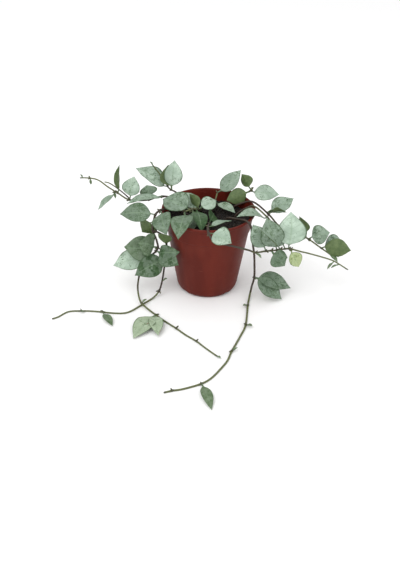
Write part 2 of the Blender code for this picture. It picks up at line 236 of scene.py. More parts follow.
def new_finish(name):
    """A material with an empty slate: its tree, its shader and its Object coordinates."""
    material = bpy.data.materials.new(name)
    material.use_nodes = True
    tree = Tree(material.node_tree)
    shader = material.node_tree.nodes["Principled BSDF"]
    place = tree.node("ShaderNodeTexCoord").outputs["Object"]
    return material, tree, shader, place


def raise_bumps(tree, shader, height, depth):
    """Bump the shader by a height field; depth is in metres."""
    bump = tree.node("ShaderNodeBump", {0: 1.0, 1: depth})
    tree.feed(bump.inputs["Height"], height)
    tree.feed(shader.inputs["Normal"], bump.outputs[0])


# colours as red, green, blue and alpha, in linear light
PLASTIC_DARK = (0.092, 0.0090, 0.0040, 1)
PLASTIC_LIGHT = (0.122, 0.0135, 0.0062, 1)
PLASTIC_DUST = (0.165, 0.034, 0.020, 1)
PLASTIC_SCUFF = (0.22, 0.060, 0.040, 1)
PEAT_DARK = (0.004, 0.003, 0.0025, 1)
PEAT_LIGHT = (0.022, 0.015, 0.010, 1)
BARK_CHIP = (0.050, 0.032, 0.022, 1)


def pot_plastic():
    """Satin plastic with upright flow streaks, a dusty cloud and fine level scratches."""
    material, tree, shader, place = new_finish("brick_red_plastic")
    streaks = tree.noise(tree.vector("MULTIPLY", place, (60.0, 60.0, 9.0)), 1.0, 4.0).outputs[0]
    cloud = tree.noise(place, 28.0, 3.0).outputs[0]
    specks = tree.noise(place, 900.0, 2.0).outputs[0]
    scratches = tree.noise(tree.vector("MULTIPLY", place, (90.0, 90.0, 900.0)), 1.0, 3.0).outputs[0]
    base = tree.blend(tree.ramp(streaks, 0.35, 0.7), PLASTIC_DARK, PLASTIC_LIGHT)
    dusty = tree.blend(tree.ramp(cloud, 0.5, 0.8, 0.0, 0.22), base, PLASTIC_DUST)
    scuffed = tree.blend(tree.ramp(scratches, 0.66, 0.76, 0.0, 0.30), dusty, PLASTIC_SCUFF)
    tree.feed(shader.inputs["Base Color"], scuffed)
    tree.feed(shader.inputs["Roughness"], tree.ramp(cloud, 0.2, 0.8, 0.42, 0.58))
    fine = tree.add(tree.times(specks, 0.5), tree.times(scratches, 0.5))
    raise_bumps(tree, shader, fine, 0.00012)
    shader.inputs["Specular IOR Level"].default_value = 0.16
    return material


def soil_mix():
    """Damp peat, nearly black, with browner patches of bark."""
    material, tree, shader, place = new_finish("dark_potting_mix")
    grain = tree.noise(place, 420.0, 4.0).outputs[0]
    patch = tree.noise(place, 90.0, 2.0).outputs[0]
    dark = tree.blend(tree.ramp(grain, 0.35, 0.7), PEAT_DARK, PEAT_LIGHT)
    mixed = tree.blend(tree.ramp(patch, 0.55, 0.75, 0.0, 0.5), dark, BARK_CHIP)
    tree.feed(shader.inputs["Base Color"], mixed)
    shader.inputs["Roughness"].default_value = 0.95
    raise_bumps(tree, shader, grain, 0.0006)
    return material


POT_PLASTIC = pot_plastic()
SOIL_MIX = soil_mix()
print("finishes:", POT_PLASTIC.name, SOIL_MIX.name)

# %% [markdown]
# ## The leaf's finish
# A silver hoya's leaf is dark green tissue under a pale silvery film. Where the film is broken the
# green shows as speckles and blotches, and it always stops short of the edge, which leaves a
# thin green margin. The underside is plain olive. Each leaf carries a few numbers with it: how
# much silver it has, how yellow it is, how scarred, and how strongly dark patches show. A lower
# silver number also darkens the leaves that sit in shadow, as painted shade. The
# finish reads those numbers, so one material serves every leaf and still gives each its own
# character.

# %% Leaf finish
VEIN_PAIRS = 6.0
# each pair is mixed by noise, from the first colour to the second
DEEP_GREEN = [(0.016, 0.050, 0.012, 1), (0.042, 0.096, 0.030, 1)]
GREY_GREEN = [(0.058, 0.105, 0.050, 1), (0.115, 0.172, 0.098, 1)]
DULL_SILVER = [(0.100, 0.148, 0.098, 1), (0.168, 0.232, 0.170, 1)]
CLEAR_SILVER = [(0.32, 0.42, 0.33, 1), (0.48, 0.60, 0.49, 1)]
OLIVE = [(0.050, 0.088, 0.024, 1), (0.098, 0.142, 0.046, 1)]
YELLOWED_FILM = (0.42, 0.48, 0.20, 1)
YELLOWED_GREEN = (0.20, 0.26, 0.07, 1)
MIDDLE_VEIN = (0.22, 0.32, 0.20, 1)
SILVERED_OLIVE = (0.20, 0.27, 0.14, 1)
STAIN_BROWN = (0.16, 0.085, 0.035, 1)


def attribute(tree, name):
    """A number that the piece's own points carry."""
    return tree.node("ShaderNodeAttribute", attribute_name=name).outputs["Fac"]


def leaf_wax():
    """Silver film over green, with patches, margin, veins and stains; olive beneath."""
    material, tree, shader, place = new_finish("silvered_leaf")
    # silver is the leaf's own film, lowered on shaded leaves as painted shade
    silver = attribute(tree, "silver")
    yellow = attribute(tree, "yellow")
    scars = attribute(tree, "scars")
    patches = attribute(tree, "patches")
    across = attribute(tree, "across")
    along = attribute(tree, "along")
    upper = attribute(tree, "upper")
    fine = tree.noise(place, 950.0, 3.0, 0.62).outputs[0]
    middling = tree.noise(place, 260.0, 3.0, 0.6).outputs[0]
    broad = tree.noise(place, 75.0, 2.0).outputs[0]
    edge = tree.math("ABSOLUTE", across)
    film = tree.add(tree.times(fine, 0.55), tree.times(middling, 0.45))
    worn = tree.times(tree.math("SUBTRACT", 1.0, silver), 0.36)
    worn = tree.add(worn, tree.times(tree.math("SUBTRACT", broad, 0.5), 0.30))
    cover = tree.ramp(tree.math("SUBTRACT", film, worn), 0.30, 0.47)
    cover = tree.times(cover, tree.ramp(edge, 0.86, 0.97, 1.0, 0.25))
    cover = tree.times(cover, tree.ramp(along, 0.0, 0.06))
    deep = tree.blend(tree.ramp(middling, 0.3, 0.7), *DEEP_GREEN)
    grey = tree.blend(tree.ramp(middling, 0.3, 0.7), *GREY_GREEN)
    green = tree.blend(tree.ramp(silver, 0.25, 0.62), deep, grey)
    dull = tree.blend(tree.ramp(broad, 0.3, 0.7), *DULL_SILVER)
    clear = tree.blend(tree.ramp(broad, 0.3, 0.7), *CLEAR_SILVER)
    pale = tree.blend(tree.ramp(silver, 0.68, 1.0), dull, clear)
    pale = tree.blend(yellow, pale, YELLOWED_FILM)
    green = tree.blend(yellow, green, YELLOWED_GREEN)
    top = tree.blend(cover, green, pale)
    blotch = tree.ramp(tree.noise(place, 115.0, 2.0).outputs[0], 0.50, 0.56)
    blotch = tree.times(tree.times(blotch, patches), tree.ramp(fine, 0.55, 0.66, 0.9, 0.2))
    top = tree.blend(blotch, top, deep)
    top = tree.blend(tree.ramp(edge, 0.89, 0.98, 0.0, 0.55), top, deep)
    comb = tree.math("SUBTRACT", tree.times(along, VEIN_PAIRS), tree.times(edge, 1.4))
    comb = tree.math("ABSOLUTE", tree.math("SINE", tree.times(comb, math.pi)))
    veins = tree.times(tree.ramp(comb, 0.0, 0.22, 0.30, 0.0), tree.ramp(edge, 0.6, 0.9, 1.0, 0.0))
    top = tree.blend(veins, top, green)
    rib = tree.ramp(edge, 0.02, 0.09, 0.35, 0.0)
    top = tree.blend(rib, top, MIDDLE_VEIN)
    olive = tree.blend(tree.ramp(middling, 0.3, 0.75), *OLIVE)
    olive = tree.blend(tree.times(silver, 0.2), olive, SILVERED_OLIVE)
    colour = tree.blend(tree.ramp(upper, -0.25, 0.05), olive, top)
    stain = tree.add(tree.times(broad, 0.6), tree.times(middling, 0.4))
    blemish = tree.ramp(tree.add(stain, tree.times(scars, 0.16)), 0.74, 0.80)
    colour = tree.blend(tree.times(blemish, 0.8), colour, STAIN_BROWN)
    tree.feed(shader.inputs["Base Color"], colour)
    tree.feed(shader.inputs["Roughness"], tree.ramp(cover, 0.0, 1.0, 0.34, 0.50))
    shader.inputs["Specular IOR Level"].default_value = 0.28
    raise_bumps(tree, shader, tree.add(film, tree.times(broad, 0.6)), 0.00022)
    return material


LEAF_WAX = leaf_wax()
print("leaf finish:", LEAF_WAX.name, len(LEAF_WAX.node_tree.nodes), "nodes")

# %% [markdown]
# ## The stem's finish
# Young stems are olive green and smooth. Near the root they are years old, with dry brown bark.
# Every stem carries its age along its length, 1 at its root and less towards the growing tip,
# and the finish goes from bark to green by that number.

# %% Stem finish
YOUNG_GREEN = [(0.060, 0.075, 0.020, 1), (0.130, 0.145, 0.050, 1)]
OLD_BARK = [(0.010, 0.006, 0.004, 1), (0.060, 0.036, 0.022, 1)]
KNOT_BROWN = (0.022, 0.015, 0.008, 1)


def stem_bark():
    """Olive green when young, dry brown bark when old, nearly black at the knots."""
    material, tree, shader, place = new_finish("hoya_stem")
    age = attribute(tree, "age")
    knot = attribute(tree, "knot")
    fine = tree.noise(place, 1400.0, 3.0).outputs[0]
    patch = tree.noise(place, 130.0, 3.0).outputs[0]
    green = tree.blend(patch, *YOUNG_GREEN)
    bark = tree.blend(fine, *OLD_BARK)
    mottled = tree.add(age, tree.times(tree.math("SUBTRACT", patch, 0.5), 0.5))
    colour = tree.blend(tree.ramp(mottled, 0.40, 0.72), green, bark)
    colour = tree.blend(tree.times(knot, 0.85), colour, KNOT_BROWN)
    tree.feed(shader.inputs["Base Color"], colour)
    shader.inputs["Roughness"].default_value = 0.55
    raise_bumps(tree, shader, fine, 0.0003)
    return material


STEM_BARK = stem_bark()
print("stem finish:", STEM_BARK.name)

# %% [markdown]
# ## The pot
# A nursery pot is one thin moulded shell: a tapered wall, a band that flares below the lip, a
# rolled lip to lift it by, and a foot ring with drain slots. It is round, so one profile turned
# about the upright axis makes it. Real moulded plastic has no sharp corners, so every corner of
# the profile is first rounded with a short curve.

# %% Pot profile
# millimetres; heights are measured from the underside of the foot ring
WALL = 1.4
RIM_RADIUS = 52.0
POT_HEIGHT = 97.5
COLLAR_Z = 75.5
COLLAR_RADIUS = 47.2
WALL_TOP_RADIUS = 46.1
WALL_FOOT_RADIUS = 35.3
FOOT_RADIUS = 31.0
DRAIN_RISE = 2.0
INNER = [
    (0.0, WALL),
    (10.6, WALL),
    (13.0, DRAIN_RISE + WALL),
    (24.6, DRAIN_RISE + WALL),
    (27.2, WALL + 0.2),
    (FOOT_RADIUS - 0.4, WALL + 0.5),
    (WALL_FOOT_RADIUS - WALL - 0.6, 5.4),
    (WALL_FOOT_RADIUS - WALL + 0.2, 9.0),
    (WALL_TOP_RADIUS - WALL, COLLAR_Z + 0.6),
    (COLLAR_RADIUS - WALL + 0.2, COLLAR_Z + 2.0),
    (48.7, 93.5),
    (49.3, 96.6),
]
OUTER = [
    (49.9, POT_HEIGHT),
    (RIM_RADIUS - 0.5, POT_HEIGHT),
    (RIM_RADIUS, POT_HEIGHT - 0.6),
    (RIM_RADIUS, POT_HEIGHT - 2.4),
    (RIM_RADIUS - 0.5, POT_HEIGHT - 2.9),
    (50.1, 93.9),
    (COLLAR_RADIUS, COLLAR_Z + 0.6),
    (COLLAR_RADIUS - 0.4, COLLAR_Z),
    (WALL_TOP_RADIUS, COLLAR_Z - 0.2),
    (WALL_FOOT_RADIUS, 8.0),
    (WALL_FOOT_RADIUS - 0.9, 4.2),
    (WALL_FOOT_RADIUS - 2.4, 1.4),
    (FOOT_RADIUS, 0.0),
    (27.6, 0.0),
    (25.0, DRAIN_RISE),
    (12.6, DRAIN_RISE),
    (10.2, 0.0),
    (0.0, 0.0),
]
CORNER_STEPS = 4
CORNER_RADIUS = 0.7
TURN_STEPS = 160


def rounded(profile, radius):
    """The profile with each inner corner cut back and replaced by a short curve."""
    points = [Vector(profile[0])]
    for before, corner, after in zip(profile, profile[1:], profile[2:]):
        corner = Vector(corner)
        back = Vector(before) - corner
        ahead = Vector(after) - corner
        cut = min(radius, back.length * 0.45, ahead.length * 0.45)
        start = corner + back.normalized() * cut
        end = corner + ahead.normalized() * cut
        for step in range(CORNER_STEPS + 1):
            t = step / CORNER_STEPS
            points.append(start * (1 - t) ** 2 + corner * 2 * t * (1 - t) + end * t ** 2)
    points.append(Vector(profile[-1]))
    return points


POT_PROFILE = rounded(INNER + OUTER, CORNER_RADIUS)
print("rounded profile:", len(POT_PROFILE), "points")

# %% [markdown]
# ## Turning the pot
# The profile becomes a solid with a Screw modifier, and four short oval rods, laid level through
# its lower corner, are cut out as drain slots. Cutting is simpler than building the slots into
# a turned shape. `settled` then ends every piece of this plant: welded, with its faces outwards.

# %% Turn the pot and cut its drains


def link(thing):
    """Put a new object in the scene."""
    bpy.context.scene.collection.objects.link(thing)
    return thing


def evaluated_mesh(thing):
    """What an object's modifiers make, as a plain mesh."""
    depsgraph = bpy.context.evaluated_depsgraph_get()
    return bpy.data.meshes.new_from_object(thing.evaluated_get(depsgraph))


def settled(name, mesh, material, weld=0.00001):
    """A finished piece: doubles merged, normals outwards, inside the plant's own box."""
    bm = bmesh.new()
    bm.from_mesh(mesh)
    bmesh.ops.remove_doubles(bm, verts=bm.verts, dist=weld)
    bmesh.ops.recalc_face_normals(bm, faces=bm.faces)
    for vertex in bm.verts:
        for axis in range(3):
            vertex.co[axis] = min(max(vertex.co[axis], BOX_LOW[axis]), BOX_HIGH[axis])
    bm.to_mesh(mesh)
    bm.free()
    mesh.materials.clear()
    mesh.materials.append(material)
    mesh.shade_smooth()
    return link(bpy.data.objects.new(name, mesh))


def placed(piece, slot, *nodes):
    """Attach a finished piece to the root and hide the frame solids that it replaces."""
    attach(piece, "root")
    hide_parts(*nodes)
    return piece


def turned(profile):
    """Turn a profile of (radius, height) in millimetres about the upright axis."""
    mesh = bpy.data.meshes.new("turned")
    edges = [(i, i + 1) for i in range(len(profile) - 1)]
    mesh.from_pydata([Vector((r, 0.0, z)) * MM for r, z in profile], edges, [])
    carrier = link(bpy.data.objects.new("turned", mesh))
    screw = carrier.modifiers.new("turn", "SCREW")
    screw.angle = math.tau
    screw.steps = TURN_STEPS
    screw.render_steps = TURN_STEPS
    screw.use_merge_vertices = True
    screw.merge_threshold = 0.00001
    result = evaluated_mesh(carrier)
    bpy.data.objects.remove(carrier)
    return result


SLOT_WIDTH = 9.0
SLOT_RISE = 3.4
SLOT_ANGLE = 48
SLOT_RADIUS = 33.0
SLOT_LENGTH = 12.0


def slot_cutter(angle):
    """A level oval rod that points away from the pot's middle."""
    bm = bmesh.new()
    bmesh.ops.create_cone(bm, cap_ends=True, segments=32, radius1=SLOT_WIDTH / 2 * MM,
                          radius2=SLOT_WIDTH / 2 * MM, depth=SLOT_LENGTH * MM)
    mesh = bpy.data.meshes.new("drain_cutter")
    bm.to_mesh(mesh)
    bm.free()
    cutter = link(bpy.data.objects.new("drain_cutter", mesh))
    cutter.rotation_euler = (0.0, math.pi / 2, -angle)
    cutter.scale = (SLOT_RISE / (SLOT_WIDTH / 2), 1.0, 1.0)
    cutter.location = Vector((math.cos(angle), -math.sin(angle), 0.0)) * SLOT_RADIUS * MM
    return cutter


def make_pot():
    """The turned shell with its drain slots cut."""
    carrier = link(bpy.data.objects.new("pot_blank", turned(POT_PROFILE)))
    bm = bmesh.new()
    bm.from_mesh(carrier.data)
    bmesh.ops.remove_doubles(bm, verts=bm.verts, dist=0.00001)
    bmesh.ops.recalc_face_normals(bm, faces=bm.faces)
    bm.to_mesh(carrier.data)
    bm.free()
    cutters = [slot_cutter(math.radians(SLOT_ANGLE + 90 * quarter)) for quarter in range(4)]
    for cutter in cutters:
        drain = carrier.modifiers.new("drain", "BOOLEAN")
        drain.operation = "DIFFERENCE"
        drain.object = cutter
    mesh = evaluated_mesh(carrier)
    for thing in [carrier] + cutters:
        bpy.data.objects.remove(thing)
    return settled("moulded_pot", mesh, POT_PLASTIC)


pot = placed(make_pot(), "pot_plastic", "pot")
pot.data.set_sharp_from_angle(angle=math.radians(50))
print("pot:", len(pot.data.polygons), "faces")

# %% [markdown]
# ## Growing with Geometry Nodes
# Crumbs, stems and leaves repeat or follow a rule, so Geometry Nodes trees make them. A tree is
# built once, with named inputs, and then run as often as needed with other numbers. The helpers
# below start a tree, end it in real geometry with one finish, and run it into a plain mesh.

# %% Helpers for geometry trees


def new_geometry_tree(name, inputs):
    """An empty tree with named inputs; returns its builder and the inputs' sockets."""
    group = bpy.data.node_groups.new(name, "GeometryNodeTree")
    for label, kind in inputs:
        group.interface.new_socket(label, in_out="INPUT", socket_type="NodeSocket" + kind)
    group.interface.new_socket("Geometry", in_out="OUTPUT", socket_type="NodeSocketGeometry")
    tree = Tree(group)
    given = tree.node("NodeGroupInput").outputs
    return tree, given


def stored(tree, geometry, name, value):
    """Keep a number on every point, for later nodes and for the finish."""
    return tree.node("GeometryNodeStoreNamedAttribute", {0: geometry, 2: name, 3: value},
                     data_type="FLOAT", domain="POINT").outputs[0]


def kept(tree, name, data_type="FLOAT"):
    """A number or a direction that the points already carry."""
    return tree.node("GeometryNodeInputNamedAttribute", [name], data_type=data_type).outputs[0]


def finish_tree(tree, geometry, finish):
    """End a tree: real geometry, smooth shading, one finish."""
    real = tree.node("GeometryNodeRealizeInstances", [geometry]).outputs[0]
    smooth = tree.node("GeometryNodeSetShadeSmooth", {0: real, 2: True}).outputs[0]
    dressed = tree.node("GeometryNodeSetMaterial", {0: smooth, 2: finish}).outputs[0]
    tree.node("NodeGroupOutput", [dressed])
    return tree.tree


def grown(group, values, start=None):
    """Run a tree on a start mesh and return the plain mesh that it makes."""
    carrier = link(bpy.data.objects.new("carrier", start or bpy.data.meshes.new("carrier")))
    modifier = carrier.modifiers.new("grow", "NODES")
    modifier.node_group = group
    for item in group.interface.items_tree:
        if item.in_out == "INPUT" and item.name in values:
            modifier[item.identifier] = values[item.name]
    mesh = evaluated_mesh(carrier)
    bpy.data.objects.remove(carrier)
    return mesh


print("geometry helpers ready")

# %% [markdown]
# ## The potting mix
# The mix fills the pot to just below the lip. Its bed is one more turned shape with a lumpy top.
# Loose crumbs of bark and peat lie on it. There are hundreds, all alike but for size and turn,
# so a tree scatters copies of one rough chip over the bed with a fixed seed.

# %% Scatter the crumbs
# GAP is the clearance between neighbouring solids; the sizes are millimetres
GAP = 0.3
SOIL_Z = 84.0
SOIL_RELIEF = 1.1
CRUMB_SIZE = 1.7
CRUMB_DENSITY = 220000.0     # crumbs for each square metre
CRUMB_SEED = 7


def soil_height(x, y):
    """The lumpy top of the mix; it is level where it meets the pot."""
    fade = max(0.0, 1.0 - (math.hypot(x, y) / 44.0) ** 4)
    lumps = math.sin(x * 0.31 + 0.6) * math.cos(y * 0.27) + 0.5 * math.sin(x * 0.13 - y * 0.19)
    return SOIL_Z + SOIL_RELIEF * fade * lumps


def soil_bed():
    """The pot's filling: a lumpy top over the inner profile of the pot."""
    rings = [(float(radius), SOIL_Z) for radius in range(0, 47)]
    under = [(max(r - GAP - 0.1, 0.0), z + GAP + 0.1) for r, z in reversed(INNER[:-2])]
    mesh = turned(rings + under)
    for vertex in mesh.vertices:
        if vertex.co.z > (SOIL_Z - 0.2) * MM:
            vertex.co.z = soil_height(vertex.co.x / MM, vertex.co.y / MM) * MM
    return mesh


def crumb_tree():
    """Scatters rough chips over the level faces of the bed's top."""
    tree, given = new_geometry_tree("scatter_crumbs", [
        ("Bed", "Geometry"), ("Density", "Float"), ("Size", "Float"), ("Seed", "Int"),
        ("Finish", "Material")])
    normal = tree.node("GeometryNodeInputNormal").outputs[0]
    facing = tree.node("ShaderNodeSeparateXYZ", [normal]).outputs[2]
    top = tree.math("GREATER_THAN", facing, 0.6)
    height = tree.node("ShaderNodeSeparateXYZ",
                       [tree.node("GeometryNodeInputPosition").outputs[0]]).outputs[2]
    top = tree.times(top, tree.math("GREATER_THAN", height, (SOIL_Z - 4.0) * MM))
    points = tree.node("GeometryNodeDistributePointsOnFaces",
                       {0: given["Bed"], 1: top, 4: given["Density"], 6: given["Seed"]})
    chip = tree.node("GeometryNodeMeshIcoSphere", [1.0, 2]).outputs[0]
    place = tree.node("GeometryNodeInputPosition").outputs[0]
    dents = tree.noise(place, 1.3, 3.0).outputs[1]
    dents = tree.vector("SUBTRACT", dents, (0.5, 0.5, 0.5))
    chip = tree.node("GeometryNodeSetPosition", {0: chip, 3: dents}).outputs[0]
    turn = tree.node("FunctionNodeRandomValue", {0: (0, 0, 0), 1: (6.3, 6.3, 6.3), 8: 4},
                     data_type="FLOAT_VECTOR").outputs[0]
    size = tree.node("FunctionNodeRandomValue",
                     {0: (0.25, 0.25, 0.20), 1: (1.5, 0.95, 0.6), 8: 9},
                     data_type="FLOAT_VECTOR").outputs[0]
    copies = tree.node("GeometryNodeInstanceOnPoints",
                       {0: points.outputs[0], 2: chip, 5: turn,
                        6: tree.scaled(size, given["Size"])}).outputs[0]
    return finish_tree(tree, copies, given["Finish"])


bed_mesh = soil_bed()
crumbs = grown(crumb_tree(), {"Density": CRUMB_DENSITY, "Size": CRUMB_SIZE * MM, "Seed": CRUMB_SEED,
                              "Finish": SOIL_MIX}, start=bed_mesh.copy())
placed(settled("potting_mix_bed", bed_mesh, SOIL_MIX), "soil_mix", "soil")
crumb_piece = settled("potting_mix_crumbs", crumbs, SOIL_MIX)
placed(crumb_piece, "soil_mix", "soil")
print("crumbs:", len(crumb_piece.data.polygons), "faces")

# %% [markdown]
# ## The plant's plan
# Two short lists say how this plant grew. Each stem is a route of a few listed stops,
# written in millimetres, and a smooth curve goes through them. Each leaf names its stem, its
# place along that stem's route, and, for each blade, where the tip is, how wide it is, which way
# its upper face looks and how much it arches.

# %% Stems and leaves, in millimetres
# Vines: name, radius at the root, radius at the tip, leafless knots, route.
# A route that starts with None starts on the soil.
VINES = [
    ("vine_far_left", 1.2, 0.7, [9.9],
     [(-26, 20, None), (-28, 21, 90), (-38, 22, 97), (-48, 20, 101), (-57, 20, 100),
      (-70, 18, 97), (-88, 10, 101), (-101, 14, 107), (-113, 23, 110), (-125, 34, 113),
      (-136, 39, 113), (-147, 41, 112)]),
    ("twig_far_left", 0.8, 0.6, [],
     [(-89, 12, 102.5), (-99, 24, 105), (-112, 36, 108), (-119, 40, 108)]),
    ("vine_upright_left", 1.2, 0.7, [],
     [(-14, 24, None), (-16, 25, 89), (-27, 30, 94), (-38, 34, 100), (-45, 42, 100),
      (-49, 45, 105), (-56, 48, 115), (-64, 50, 125)]),
    ("vine_short_left", 1.1, 0.9, [],
     [(-6, 6, None), (-7, 5, 89), (-9, 1, 94), (-14, -5, 99), (-20, -11, 101),
      (-26, -20, 103)]),
    ("vine_trailing_left", 1.3, 0.8, [14, 18, 20],
     [(-18, -1, None), (-21, -2, 89), (-36, -4, 97), (-49, -9, 100), (-57, -13, 97),
      (-60, -16, 88), (-61, -18, 78), (-57, -19, 67), (-56, -20, 56), (-65, -20, 45),
      (-75, -19, 30), (-78, -20, 17), (-79, -25, 8), (-77, -38, 5), (-73, -51, 4),
      (-64, -61, 2), (-56, -69, 1), (-44, -82, 1), (-33, -93, 1), (-22, -105, 1),
      (-11, -115, 1), (0, -128, 1), (12, -141, 1)]),
    ("vine_trailing_far_left", 1.1, 0.8, [6, 15],
     [(-58, -19, 78), (-50, -21, 74), (-46, -21, 64), (-46, -20, 50), (-49, -21, 30),
      (-51, -25, 17), (-54, -31, 8), (-59, -36, 3), (-64, -40, 1), (-75, -53, 1),
      (-84, -63, 1), (-92, -67, 1), (-104, -67, 1), (-118, -65, 1), (-128, -64, 1),
      (-138, -64, 1), (-150, -65, 1), (-156, -69, 1), (-162, -76, 1), (-168, -80, 1)]),
    ("vine_front", 1.3, 0.7, [9],
     [(2, -14, None), (2, -16, 89), (0, -34, 95), (-1, -49, 100), (0, -57, 98),
      (5, -62, 92), (14, -63, 89), (28, -60, 84), (43, -55, 77), (51, -51, 72),
      (62, -46, 71), (74, -42, 70), (87, -40, 71), (99, -40, 68), (111, -40, 65),
      (128, -42, 61), (138, -44, 58), (153, -46, 49)]),
    ("vine_trailing_right", 1.3, 0.9, [12, 13, 15, 21],
     [(20, -4, None), (22, -6, 89), (32, -20, 95), (40, -33, 100), (45, -37, 96),
      (47, -35, 84), (49, -33, 70), (51, -32, 57), (52, -31, 44), (53, -26, 25),
      (51, -25, 12), (48, -35, 3), (46, -48, 1), (42, -85, 1), (35, -107, 1),
      (26, -131, 1), (21, -147, 1), (14, -160, 1), (5, -174, 1), (-5, -183, 1),
      (-22, -191, 1), (-33, -194, 1), (-41, -197, 1)]),
    ("vine_right_upper", 1.2, 0.8, [],
     [(26, 20, None), (28, 20, 89), (38, 17, 96), (50, 12, 100), (66, 0, 92), (79, -6, 80),
      (94, -12, 77), (109, -18, 72), (125, -24, 63), (137, -30, 57)]),
    ("vine_right_lower", 1.2, 0.8, [],
     [(30, 4, None), (32, 4, 89), (42, 3, 97), (51, 1, 100), (65, -7, 91), (71, -10, 85)]),
    ("vine_upright_right", 1.2, 0.8, [],
     [(16, 22, None), (18, 23, 89), (30, 27, 97), (42, 30, 102), (47, 28, 106),
      (50, 27, 111)]),
    ("vine_upright_back", 1.1, 0.8, [],
     [(4, 16, None), (5, 18, 89), (8, 26, 96), (10, 32, 101)]),
]

